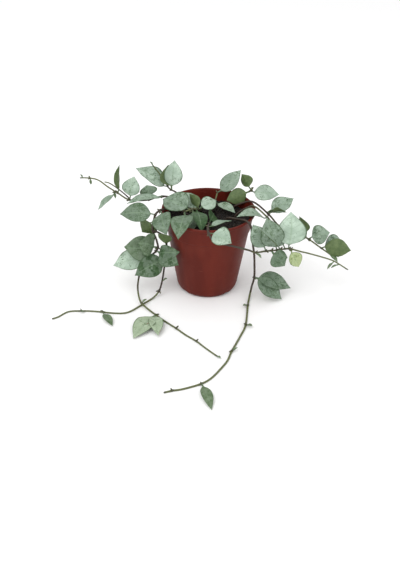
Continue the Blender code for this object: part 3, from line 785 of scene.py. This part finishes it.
# Leaves: name, vine, place along its route, then for each blade (tip, width, the way its upper
# face looks, arch). A piece with two blades is the pair that grows from one side of a knot.
LEAVES = [
    ("leaf_far_left_upright", "vine_far_left", 7.0, [((-100, 26, 136), 16, (-3, 1, 0), 1)]),
    ("leaf_far_left_drooping", "vine_far_left", 7.2, [((-124, 6, 90), 11, (-2, -1, 2), 1)]),
    ("leaf_far_left_round", "vine_far_left", 6.0, [((-83, 20, 125), 20, (0, -1, 1), 1)]),
    ("leaf_far_left_low", "vine_far_left", 4.7, [((-70, 28, 111), 20, (0, -1, 1), 1)]),
    ("leaf_far_left_flat", "vine_far_left", 3.4, [((-90, -2, 103), 16, (0, 0, 1), 2)]),
    ("leaf_upright_left_long", "vine_upright_left", 4.5, [((-84, 56, 119), 24, (0, -1, 3), 4)]),
    ("leaf_pair_upright_left", "vine_upright_left", 3.6,
     [((-39, 52, 131), 22, (1, -3, 1), 1), ((-47, 48, 127), 20, (-1, 2, 0), 1)]),
    ("leaf_pair_inner_left", "vine_short_left", 2.0,
     [((-34, 34, 100), 20, (0, -1, 2), 1), ((-21, 14, 108), 14, (1, 2, 0), 1)]),
    ("leaf_inner_pointed", "vine_short_left", 2.5, [((9, 15, 100), 17, (1, -1, 2), 1)]),
    ("leaf_inner_streaked", "vine_short_left", 3.0, [((-7, -46, 93), 17, (1, -1, 3), 4)]),
    ("leaf_inner_olive", "vine_short_left", 3.6, [((-21, -41, 86), 18, (-1, -1, 3), -1)]),
    ("leaf_left_broad", "vine_short_left", 4.0, [((-51, 8, 105), 32, (0, -1, 3), 2)]),
    ("leaf_rim_left", "vine_short_left", 5.0, [((-32, -60, 92), 24, (-1, -3, 2), 5)]),
    ("leaf_left_draped", "vine_trailing_left", 3.4, [((-45, -44, 88), 23, (-1, -3, 2), 3)]),
    ("leaf_left_pointed", "vine_trailing_left", 4.2, [((-97, -14, 96), 22, (0, -1, 1), 1)]),
    ("leaf_left_underside", "vine_trailing_left", 5.0, [((-73, -12, 73), 23, (0, 3, -1), 1)]),
    ("leaf_left_small_olive", "vine_trailing_far_left", 2.0,
     [((-50, -33, 84), 16, (1, 3, 0), 1)]),
    ("leaf_pair_left_middle", "vine_trailing_left", 7.8,
     [((-93, -22, 59), 28, (0, -2, 1), 1), ((-76, -30, 69), 26, (0, -2, 1), 1)]),
    ("leaf_pair_left_by_pot", "vine_trailing_left", 8.2,
     [((-32, -44, 50), 22, (-1, -3, 2), 1), ((-31, -38, 63), 18, (-1, -3, 1), 1)]),
    ("leaf_left_pale", "vine_trailing_left", 9.0, [((-106, -24, 36), 24, (0, -1, 1), 1)]),
    ("leaf_left_lowest", "vine_trailing_far_left", 3.3,
     [((-80, -40, 33), 26, (0, -3, 1), 2)]),
    ("leaf_pair_table_left", "vine_trailing_left", 16.0,
     [((-77, -114, 3), 22, (0, 0, 1), 1), ((-51, -110, 4), 16, (0, 0, 1), 2)]),
    ("leaf_small_table_left", "vine_trailing_far_left", 12.7,
     [((-101, -92, 2), 9, (0, 0, 1), 1)]),
    ("leaf_inner_dark", "vine_front", 1.6, [((6, 0, 92), 16, (1, -1, 1), 1)]),
    ("leaf_inner_narrow", "vine_front", 2.8, [((25, -26, 97), 14, (0, 1, 3), 1)]),
    ("leaf_front", "vine_front", 4.0, [((24, -68, 93), 24, (0, -1, 2), 2)]),
    ("leaf_right_round_small", "vine_front", 10.0, [((47, -37, 98), 22, (0, -2, 1), 1)]),
    ("leaf_right_tall", "vine_front", 11.0, [((61, -42, 109), 26, (0, -2, 1), 1)]),
    ("leaf_right_edge_on", "vine_front", 11.3, [((49, -68, 113), 9, (1, 0, 1), 1)]),
    ("leaf_right_behind", "vine_front", 11.7, [((68, -30, 91), 24, (0, -2, 1), 1)]),
    ("leaf_right_round_large", "vine_front", 12.0, [((87, -34, 112), 33, (0, -2, 1), 1)]),
    ("leaf_pair_right_hanging", "vine_front", 10.5,
     [((86, -48, 64), 14, (0, -3, 1), 1), ((83, -52, 56), 20, (0, -4, 1), 1)]),
    ("leaf_right_yellow", "vine_front", 12.2, [((100, -42, 49), 16, (0, -1, 1), 1)]),
    ("leaf_pair_right_low", "vine_trailing_right", 9.0,
     [((96, -24, 10), 22, (0, -1, 2), 1), ((85, -38, 4), 22, (0, -1, 2), 1)]),
    ("leaf_table_front", "vine_trailing_right", 19.0, [((5, -221, 2), 11, (0, 0, 1), 1)]),
    ("leaf_pair_right_upper", "vine_right_upper", 4.0,
     [((94, 10, 107), 20, (0, -1, 2), 1), ((86, -4, 97), 16, (0, 1, 1), 1)]),
    ("leaf_right_hidden", "vine_right_upper", 6.8, [((100, -12, 96), 20, (2, 1, 0), 1)]),
    ("leaf_right_far", "vine_right_upper", 7.1, [((133, -20, 81), 22, (0, -1, 1), 1)]),
    ("leaf_pair_right_end", "vine_right_upper", 8.0,
     [((152, -18, 63), 24, (0, -1, 1), 1), ((155, -40, 70), 20, (0, 2, -1), 1)]),
    ("leaf_right_over_rim", "vine_right_lower", 4.0, [((30, -21, 99), 20, (0, 0, 1), 5)]),
    ("leaf_upright_right_dark", "vine_upright_right", 4.2, [((37, 36, 123), 16, (1, 2, 0), 1)]),
    ("leaf_upright_right_inner", "vine_upright_right", 3.8,
     [((20, 21, 97), 19, (0, 2, -1), 1)]),
    ("leaf_upright_right_outer", "vine_upright_right", 4.0,
     [((79, 20, 106), 19, (0, -1, 1), 1)]),
    ("leaf_pair_upright_back", "vine_upright_back", 3.0,
     [((34, 50, 121), 12, (-1, -1, 3), 1), ((36, 42, 125), 18, (0, -1, 1), 1)]),
    ("leaf_back_narrow", "vine_upright_back", 1.6, [((30, 5, 90), 13, (1, -1, 1), 1)]),
]
print(len(VINES), "stems and", sum(len(leaf[3]) for leaf in LEAVES), "blades")

# %% [markdown]
# ## The stems
# A hoya's stem is a thin round wire of wood with a swollen knot wherever leaves grow. The curve
# through the stops is a Catmull-Rom spline: it passes through each stop and bends evenly in
# between. The same class answers where the stem is, which way it runs and how thick it is, so
# the leaves can ask it where to attach.

# %% One stem as a smooth route
KNOT_SWELL = 0.35
KNOT_LENGTH = 1.8
STEM_STEPS = 9
ROOT_DEPTH = 3.0
GROWS_FROM = {"twig_far_left": "vine_far_left", "vine_trailing_far_left": "vine_trailing_left"}


def curve_point(route, place):
    """A point on the smooth curve through a route; place 2.5 is halfway from stop 2 to stop 3."""
    last = len(route) - 1
    stop = min(int(place), last - 1)
    t = place - stop
    before, start, end, after = (Vector(route[min(max(k, 0), last)])
                                 for k in (stop - 1, stop, stop + 1, stop + 2))
    return 0.5 * (2 * start + (end - before) * t
                  + (2 * before - 5 * start + 4 * end - after) * t ** 2
                  + (3 * start - before - 3 * end + after) * t ** 3)


class Vine:
    """One stem: a smooth route, a radius that tapers, and a knot wherever leaves grow."""

    def __init__(self, root_radius, tip_radius, knots, route):
        self.root_radius = root_radius
        self.tip_radius = tip_radius
        self.knots = knots
        x, y, z = route[0]
        self.from_soil = z is None
        if self.from_soil:
            z = soil_height(x, y) + GAP + 0.6
        self.route = [(x, y, z)] + route[1:]

    def swell(self, place):
        """How far the stem is into a knot, from 0 to 1."""
        most = 0.0
        for knot in self.knots:
            stop = min(int(knot), len(self.route) - 2)
            step = (Vector(self.route[stop + 1]) - Vector(self.route[stop])).length
            away = abs(place - knot) * step / KNOT_LENGTH
            most = max(most, math.exp(-2.2 * away ** 2))
        return most

    def radius(self, place):
        share = place / (len(self.route) - 1)
        plain = self.root_radius + (self.tip_radius - self.root_radius) * share
        return plain * (1.0 + KNOT_SWELL * self.swell(place))

    def point(self, place):
        """A point on the stem's centre line, kept clear above the table."""
        found = curve_point(self.route, place)
        found.z = max(found.z, self.radius(place) + 0.05)
        return found

    def direction(self, place):
        low = max(place - 0.05, 0.0)
        high = min(place + 0.05, len(self.route) - 1)
        return (self.point(high) - self.point(low)).normalized()


vines = {}
for name, root_radius, tip_radius, knots, route in VINES:
    leafy = sorted({place for _, vine_name, place, _ in LEAVES if vine_name == name})
    vines[name] = Vine(root_radius, tip_radius, knots + leafy, route)
print("knots in all:", sum(len(vine.knots) for vine in vines.values()))

# %% [markdown]
# ## Sweeping the stems
# The tree below sweeps a ring along the route, as thick as the stem says, and roughens it with
# bark where the stem is old. A bevelled curve could make the tube too, but not the buds: small
# rounded buds sit in the knots, and the tree copies one onto each spot that the start mesh
# marks, turned to the way it aims.

# %% Grow the stems
BUD_LENGTH = 1.9
BUD_SLIMNESS = 0.42
TIP_TAPER = 0.55
FLOOR_AGE = 0.55        # stretches that lie on the table are younger and greener
LYING_HEIGHT = 6.0      # a stem lower than this lies on the table
STEM_SIDES = 16
BARK_DEPTH = 0.35


def stem_tree():
    """A tube along the route, with a bud on every marked spot."""
    tree, given = new_geometry_tree("grow_stem", [
        ("Route", "Geometry"), ("Sides", "Int"), ("Bark depth", "Float"),
        ("Finish", "Material")])
    line = tree.node("GeometryNodeMeshToCurve", [given["Route"]]).outputs[0]
    ring = tree.node("GeometryNodeCurvePrimitiveCircle", {0: given["Sides"], 4: 1.0}).outputs[0]
    tube = tree.node("GeometryNodeCurveToMesh", [line, ring, kept(tree, "girth"), True]).outputs[0]
    place = tree.node("GeometryNodeInputPosition").outputs[0]
    normal = tree.node("GeometryNodeInputNormal").outputs[0]
    rough = tree.math("SUBTRACT", tree.noise(place, 700.0, 3.0).outputs[0], 0.5)
    rough = tree.times(rough, tree.times(given["Bark depth"], tree.add(kept(tree, "age"), 0.35)))
    tube = tree.node("GeometryNodeSetPosition",
                     {0: tube, 3: tree.scaled(normal, rough)}).outputs[0]
    ball = tree.node("GeometryNodeMeshUVSphere", [10, 8, 1.0]).outputs[0]
    bud = tree.node("GeometryNodeSetPosition", {0: ball, 3: (0.0, 0.0, 0.7)}).outputs[0]
    size = kept(tree, "bud")
    turn = tree.node("FunctionNodeAlignRotationToVector",
                     {2: kept(tree, "aim", "FLOAT_VECTOR")}, axis="Z").outputs[0]
    spread = tree.node("ShaderNodeCombineXYZ",
                       [tree.times(size, BUD_SLIMNESS), tree.times(size, BUD_SLIMNESS),
                        size]).outputs[0]
    buds = tree.node("GeometryNodeInstanceOnPoints",
                     {0: given["Route"], 1: tree.math("GREATER_THAN", size, 0.0), 2: bud,
                      5: turn, 6: spread}).outputs[0]
    both = tree.node("GeometryNodeJoinGeometry")
    tree.feed(both.inputs[0], buds)
    tree.feed(both.inputs[0], tube)
    return finish_tree(tree, both.outputs[0], given["Finish"])


def way_in(name, vine):
    """Extra stops before the first one: down into the mix, or into the stem it grows from."""
    first = vine.point(0.0)
    if vine.from_soil:
        return [first - Vector((0.0, 0.0, ROOT_DEPTH)), first - Vector((0.0, 0.0, ROOT_DEPTH / 2))]
    parent = vines[GROWS_FROM[name]]
    places = [i / 20 for i in range((len(parent.route) - 1) * 20 + 1)]
    nearest = min((parent.point(place) for place in places), key=lambda p: (p - first).length)
    return [nearest, (nearest + first) / 2]


def stem_start(name, vine):
    """The route as a chain of edges that carry girth, age and knots, and the buds' spots."""
    last = len(vine.route) - 1
    places = [i / STEM_STEPS for i in range(last * STEM_STEPS + 1)]
    lead = way_in(name, vine)
    points = lead + [vine.point(place) for place in places]
    girth = [vine.radius(0.0)] * len(lead) + [vine.radius(place) for place in places]
    girth[-1] *= TIP_TAPER
    lying = [point.z < LYING_HEIGHT for point in points]
    age = [1.0 - 0.75 * (k / len(points)) for k in range(len(points))]
    age = [a * (FLOOR_AGE if low else 1.0) for a, low in zip(age, lying)]
    knot = [0.0] * len(lead) + [vine.swell(place) for place in places]
    for k in range(1, STEM_STEPS // 2):
        knot[-k] = 1.0 - k / STEM_STEPS
    edges = [(i, i + 1) for i in range(len(points) - 1)]
    aims = [Vector()] * len(points)
    sizes = [0.0] * len(points)
    chance = random.Random(name)
    for place in vine.knots:
        along = vine.direction(place)
        side = along.orthogonal().normalized()
        side.rotate(Matrix.Rotation(chance.uniform(0.0, math.tau), 3, along))
        for sign in (1, -1):
            aim = (side * sign + along * 0.9).normalized()
            if vine.point(place).z < 4.0:
                aim = (aim + Vector((0.0, 0.0, 0.8))).normalized()
            points.append(vine.point(place) + aim * vine.radius(place) * 0.5)
            aims.append(aim)
            sizes.append(BUD_LENGTH * MM * chance.uniform(0.6, 1.15))
            girth.append(1.0)
            age.append(0.35)
            knot.append(0.55)
    mesh = bpy.data.meshes.new(name)
    mesh.from_pydata([point * MM for point in points], edges, [])
    for label, values in (("girth", [g * MM for g in girth]), ("age", age), ("knot", knot),
                          ("bud", sizes)):
        mesh.attributes.new(label, "FLOAT", "POINT").data.foreach_set("value", values)
    flat = [number for aim in aims for number in aim]
    mesh.attributes.new("aim", "FLOAT_VECTOR", "POINT").data.foreach_set("vector", flat)
    return mesh


STEM_TREE = stem_tree()
for name, vine in vines.items():
    mesh = grown(STEM_TREE, {"Sides": STEM_SIDES, "Bark depth": BARK_DEPTH * MM,
                              "Finish": STEM_BARK},
                 start=stem_start(name, vine))
    placed(settled(name + "_stem", mesh, STEM_BARK), "stem", name)
print("stems grown:", ", ".join(vines))

# %% [markdown]
# ## The leaves
# A hoya leaf is a thick oval that ends in a point. It cups a little along its middle vein, its
# edge waves, and a short stalk joins it to the knot. One tree makes them all: it rolls a flat
# grid into a sleeve, closes both ends, and lets the outline curve, the arch, the cup and a touch
# of noise shape it. Sizes and character come in through named inputs.

# %% The leaf tree
# millimetres, and shares of the whole leaf's length or of its width
STALK_RADIUS = 0.7
STALK_LENGTH = 3.0
BLADE_THICKNESS = 1.1
STALK_SHARE = 0.14
CUP = 0.46
WAVE_TURNS = 11.0
WAVE_SHARE = 0.018
UNEVEN_SHARE = 0.07
RIB_DEPTH = 0.42
RIB_REACH = 0.24
DROOP_SHARE = 0.05
SICKLE_SHARE = 0.05
LEAF_SIDES = 41
# the blade's half width along its length, as shares of half the leaf's width
BLADE_OUTLINE = [(0.0, 0.0), (0.06, 0.40), (0.15, 0.72), (0.28, 0.95), (0.42, 1.0),
                 (0.58, 0.90), (0.74, 0.63), (0.87, 0.31), (0.95, 0.11), (1.0, 0.0)]
LEAF_RINGS = 58


def outline_curve(tree, share):
    """The blade's half width along its length, as a drawn curve."""
    curve = tree.node("ShaderNodeFloatCurve", {1: share})
    drawn = curve.mapping.curves[0]
    drawn.points[0].location = BLADE_OUTLINE[0]
    drawn.points[1].location = BLADE_OUTLINE[-1]
    for share_along, spread in BLADE_OUTLINE[1:-1]:
        drawn.points.new(share_along, spread)
    curve.mapping.update()
    return curve.outputs[0]


def leaf_tree():
    """A closed sleeve, shaped into a stalk and a blade."""
    tree, given = new_geometry_tree("grow_leaf", [
        ("Start", "Vector"), ("Base", "Vector"), ("Tip", "Vector"), ("Face", "Vector"),
        ("Width", "Float"), ("Arch", "Float"), ("Seed", "Float"), ("Silver", "Float"),
        ("Yellow", "Float"), ("Scars", "Float"), ("Patches", "Float"), ("Finish", "Material")])
    grid = tree.node("GeometryNodeMeshGrid", [1.0, 1.0, LEAF_SIDES, LEAF_RINGS]).outputs[0]
    place = tree.node("GeometryNodeInputPosition").outputs[0]
    flat = tree.node("ShaderNodeSeparateXYZ", [place]).outputs
    turn = tree.times(tree.add(flat[0], 0.5), math.tau)
    way = tree.add(flat[1], 0.5)
    across = tree.math("COSINE", turn)
    upper = tree.math("SINE", turn)
    stalk = tree.node("ShaderNodeMath", [way, STALK_SHARE], operation="DIVIDE",
                      use_clamp=True).outputs[0]
    blade = tree.node("ShaderNodeMath",
                      [tree.math("SUBTRACT", way, STALK_SHARE), 1.0 - STALK_SHARE],
                      operation="DIVIDE", use_clamp=True).outputs[0]
    on_blade = tree.ramp(blade, 0.0, 0.12)
    reach = tree.vector("SUBTRACT", given["Tip"], given["Base"])
    along = tree.vector("NORMALIZE", reach)
    lean = tree.node("ShaderNodeVectorMath", [given["Face"], along],
                     operation="DOT_PRODUCT").outputs[1]
    up = tree.vector("NORMALIZE",
                     tree.vector("SUBTRACT", given["Face"], tree.scaled(along, lean)))
    side = tree.vector("CROSS_PRODUCT", along, up)
    closing = tree.ramp(way, 0.0, 0.02)
    round_stalk = tree.times(tree.ramp(blade, 0.3, 0.95, STALK_RADIUS, 0.0), closing)
    half = tree.times(tree.times(outline_curve(tree, blade), given["Width"]), 0.5)
    half = tree.math("MAXIMUM", half, round_stalk)
    thick = tree.times(tree.ramp(blade, 0.0, 0.10, STALK_RADIUS, BLADE_THICKNESS / 2), closing)
    thick = tree.math("MINIMUM", tree.times(thick, tree.ramp(blade, 0.75, 1.0, 1.0, 0.3)), half)
    edge = tree.times(across, across)
    hump = tree.times(tree.times(blade, tree.math("SUBTRACT", 1.0, blade)), 4.0)
    cup = tree.times(tree.times(tree.math("DIVIDE", tree.times(half, half), given["Width"]),
                                CUP), edge)
    wave = tree.math("SINE", tree.add(tree.times(blade, WAVE_TURNS), given["Seed"]))
    wave = tree.times(tree.times(wave, tree.times(given["Width"], WAVE_SHARE)),
                      tree.times(edge, hump))
    spot = tree.node("ShaderNodeCombineXYZ",
                     [across, tree.times(blade, 2.4), given["Seed"]]).outputs[0]
    uneven = tree.math("SUBTRACT", tree.noise(spot, 1.6, 2.0).outputs[0], 0.5)
    uneven = tree.times(uneven, tree.times(given["Width"], UNEVEN_SHARE))
    rib = tree.ramp(tree.math("ABSOLUTE", across), 0.0, RIB_REACH, RIB_DEPTH, 0.0)
    rib = tree.times(rib, tree.ramp(blade, 0.6, 1.0, 1.0, 0.0))
    droop = tree.times(tree.math("POWER", blade, 5.0),
                       tree.times(given["Width"], DROOP_SHARE))
    lift = tree.add(tree.times(hump, given["Arch"]), tree.times(upper, thick))
    shape = tree.add(cup, tree.add(wave, tree.math("SUBTRACT", uneven, tree.add(rib, droop))))
    lift = tree.add(lift, tree.times(shape, on_blade))
    sickle = tree.times(tree.math("SINE", tree.times(given["Seed"], 3.0)),
                        tree.times(tree.times(given["Width"], SICKLE_SHARE), hump))
    position = tree.total(
        given["Start"],
        tree.scaled(tree.vector("SUBTRACT", given["Base"], given["Start"]), stalk),
        tree.scaled(reach, blade),
        tree.scaled(up, lift),
        tree.scaled(side, tree.add(tree.times(half, across), sickle)))
    sleeve = grid
    for label, value in (("across", across), ("along", blade), ("upper", upper),
                         ("silver", given["Silver"]), ("yellow", given["Yellow"]),
                         ("scars", given["Scars"]), ("patches", given["Patches"])):
        sleeve = stored(tree, sleeve, label, value)
    sleeve = tree.node("GeometryNodeSetPosition",
                       {0: sleeve, 2: tree.scaled(position, MM)}).outputs[0]
    sleeve = tree.node("GeometryNodeMergeByDistance", {0: sleeve, 2: 0.00002}).outputs[0]
    return finish_tree(tree, sleeve, given["Finish"])


LEAF_TREE = leaf_tree()
print("leaf tree:", len(LEAF_TREE.nodes), "nodes")

# %% [markdown]
# ## Every leaf its own
# Each leaf keeps its own character: most are silver all over, a few are greyer, greener or
# yellowed, partly as their own tone and partly as painted shade on leaves that sit in shadow,
# and the pair that lies on the table has faint scars. Then every leaf is grown where
# its stem says, on a stalk that starts inside the knot.

# %% Grow the leaves
# silver, yellow and scars of the leaves that differ from the rest; silver is partly the leaf's own
# tone and partly painted shade, lower on leaves that sit in shadow
USUAL_LOOK = (0.84, 0.0, 0.0)
USUAL_PATCHES = 0.12
LOOKS_AND_PAINTED_SHADE = {
    "leaf_far_left_upright": (0.60, 0.0, 0.0),
    "leaf_far_left_round": (0.90, 0.0, 0.0),
    "leaf_far_left_low": (0.76, 0.0, 0.0),
    "leaf_upright_left_long": (0.90, 0.0, 0.0),
    "leaf_pair_upright_left": (1.00, 0.0, 0.0),
    "leaf_inner_pointed": (0.94, 0.0, 0.0),
    "leaf_inner_streaked": (0.22, 0.0, 0.0),
    "leaf_inner_olive": (0.66, 0.0, 0.0),
    "leaf_inner_dark": (0.30, 0.0, 0.0),
    "leaf_rim_left": (0.70, 0.0, 0.0),
    "leaf_left_broad": (0.80, 0.0, 0.0),
    "leaf_left_draped": (0.74, 0.0, 0.0),
    "leaf_left_pointed": (0.72, 0.0, 0.0),
    "leaf_left_lowest": (0.68, 0.0, 0.2),
    "leaf_left_pale": (0.94, 0.0, 0.0),
    "leaf_pair_left_middle": (0.66, 0.05, 0.0),
    "leaf_pair_left_by_pot": (0.66, 0.0, 0.2),
    "leaf_pair_table_left": (0.92, 0.25, 1.0),
    "leaf_small_table_left": (0.50, 0.1, 0.0),
    "leaf_front": (0.93, 0.0, 0.0),
    "leaf_right_tall": (0.82, 0.0, 0.0),
    "leaf_right_round_large": (1.10, 0.0, 0.0),
    "leaf_right_yellow": (0.92, 0.7, 0.2),
    "leaf_pair_right_hanging": (0.70, 0.0, 0.0),
    "leaf_pair_right_low": (0.76, 0.0, 0.2),
    "leaf_pair_right_upper": (0.86, 0.0, 0.0),
    "leaf_upright_right_outer": (0.92, 0.0, 0.0),
    "leaf_table_front": (0.62, 0.1, 0.0),
}


# how strongly dark green patches show on the leaves that differ from the rest
PATCHES = {
    "leaf_left_lowest": 1.0,
    "leaf_pair_left_by_pot": 0.9,
    "leaf_inner_streaked": 0.8,
    "leaf_upright_right_inner": 0.5,
    "leaf_upright_left_long": 0.35,
    "leaf_pair_right_upper": 0.4,
    "leaf_right_far": 0.35,
    "leaf_left_draped": 0.4,
    "leaf_pair_right_low": 0.3,
    "leaf_left_broad": 0.3,
}


def stalk_start(vine, place, tips):
    """Where a stalk leaves the stem: on the side that faces the blades."""
    centre = vine.point(place)
    along = vine.direction(place)
    towards = sum(((tip - centre).normalized() for tip in tips), Vector())
    side = (towards - along * towards.dot(along)).normalized()
    lean = min(((tip - centre).normalized().dot(side) for tip in tips))
    reach = STALK_RADIUS * math.sqrt(max(0.0, 1.0 - lean * lean))
    return centre + side * (vine.radius(place) + GAP + reach)


def joined(meshes):
    """Several meshes as one, with the numbers they carry."""
    if len(meshes) == 1:
        return meshes[0]
    carriers = [link(bpy.data.objects.new("blade", mesh)) for mesh in meshes]
    for carrier in carriers:
        carrier.select_set(True)
    bpy.context.view_layer.objects.active = carriers[0]
    bpy.ops.object.join()
    mesh = carriers[0].data
    bpy.data.objects.remove(carriers[0])
    return mesh


bpy.ops.object.select_all(action="DESELECT")
for number, (name, vine_name, place, blades) in enumerate(LEAVES):
    vine = vines[vine_name]
    start = stalk_start(vine, place, [Vector(tip) for tip, _, _, _ in blades])
    # the silver number is partly the leaf's own tone and partly painted shade for leaves in shadow
    silver, yellow, scars = LOOKS_AND_PAINTED_SHADE.get(name, USUAL_LOOK)
    meshes = []
    for half, (tip, width, face, arch) in enumerate(blades):
        along = (Vector(tip) - start).normalized()
        meshes.append(grown(LEAF_TREE, {
            "Start": vine.point(place), "Base": start + along * STALK_LENGTH,
            "Tip": Vector(tip), "Face": Vector(face), "Width": float(width),
            "Arch": float(arch), "Seed": number * 1.7 + half * 0.9, "Silver": silver,
            "Yellow": yellow, "Scars": scars, "Patches": PATCHES.get(name, USUAL_PATCHES),
            "Finish": LEAF_WAX}))
    placed(settled(name + "_blade", joined(meshes), LEAF_WAX, weld=0.000002), "leaf", name)
print("leaves grown:", len(LEAVES))

# %% [markdown]
# ## Young leaflets
# New leaves start as tiny folded slips that stand out from the stems. The leaf tree already knows
# how to make one, so a short list says where along which stem each slip stands and which way it
# points. They are joined into one piece.

# %% Grow the leaflets
# stem, place, way to the tip in millimetres, width
LEAFLETS = [
    ("vine_far_left", 9.9, (1, -3, -7), 3.0),
    ("vine_far_left", 7.4, (2, -4, -8), 3.0),
    ("vine_far_left", 10.6, (-3, 1, 4), 2.0),
    ("vine_upright_left", 6.2, (-5, 1, 4), 2.6),
    ("vine_upright_left", 6.9, (-4, 1, 5), 2.4),
    ("vine_trailing_left", 9.6, (8, -3, 2), 4.0),
    ("vine_trailing_left", 14.0, (6, 4, 3), 3.0),
    ("vine_trailing_left", 21.8, (4, -5, 1), 2.6),
    ("vine_trailing_far_left", 15.0, (2, -5, 2), 3.0),
    ("vine_trailing_far_left", 5.0, (6, -2, 5), 3.4),
    ("vine_trailing_right", 12.0, (-6, -5, 3), 4.0),
    ("vine_trailing_right", 13.0, (7, -6, 3), 4.6),
    ("vine_trailing_right", 15.0, (6, 2, 3), 3.0),
    ("vine_front", 15.9, (-7, -3, -9), 3.6),
    ("vine_front", 16.3, (-9, -2, -4), 3.0),
    ("vine_front", 9.0, (6, -5, -4), 3.4),
    ("vine_right_upper", 3.9, (7, -3, 5), 3.2),
    ("vine_right_upper", 8.6, (9, -10, -5), 6.0),
    ("vine_right_upper", 8.8, (10, 2, -4), 5.0),
]
LEAFLET_ARCH = 0.6
LEAFLET_SILVER = 0.66
LEAFLET_YELLOW = 0.15
leaflets = []
for number, (vine_name, place, way, width) in enumerate(LEAFLETS):
    start = vines[vine_name].point(place)
    way = Vector(way)
    leaflets.append(grown(LEAF_TREE, {
        "Start": start, "Base": start + way * 0.2, "Tip": start + way, "Face": Vector((0, 0, 1)),
        "Width": width, "Arch": LEAFLET_ARCH, "Seed": number * 2.3, "Silver": LEAFLET_SILVER,
        "Yellow": LEAFLET_YELLOW, "Scars": 0.0, "Patches": 0.0, "Finish": LEAF_WAX}))
slips = settled("young_leaflets", joined(leaflets), LEAF_WAX, weld=0.000002)
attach(slips, "root")
print("leaflets grown:", len(LEAFLETS))
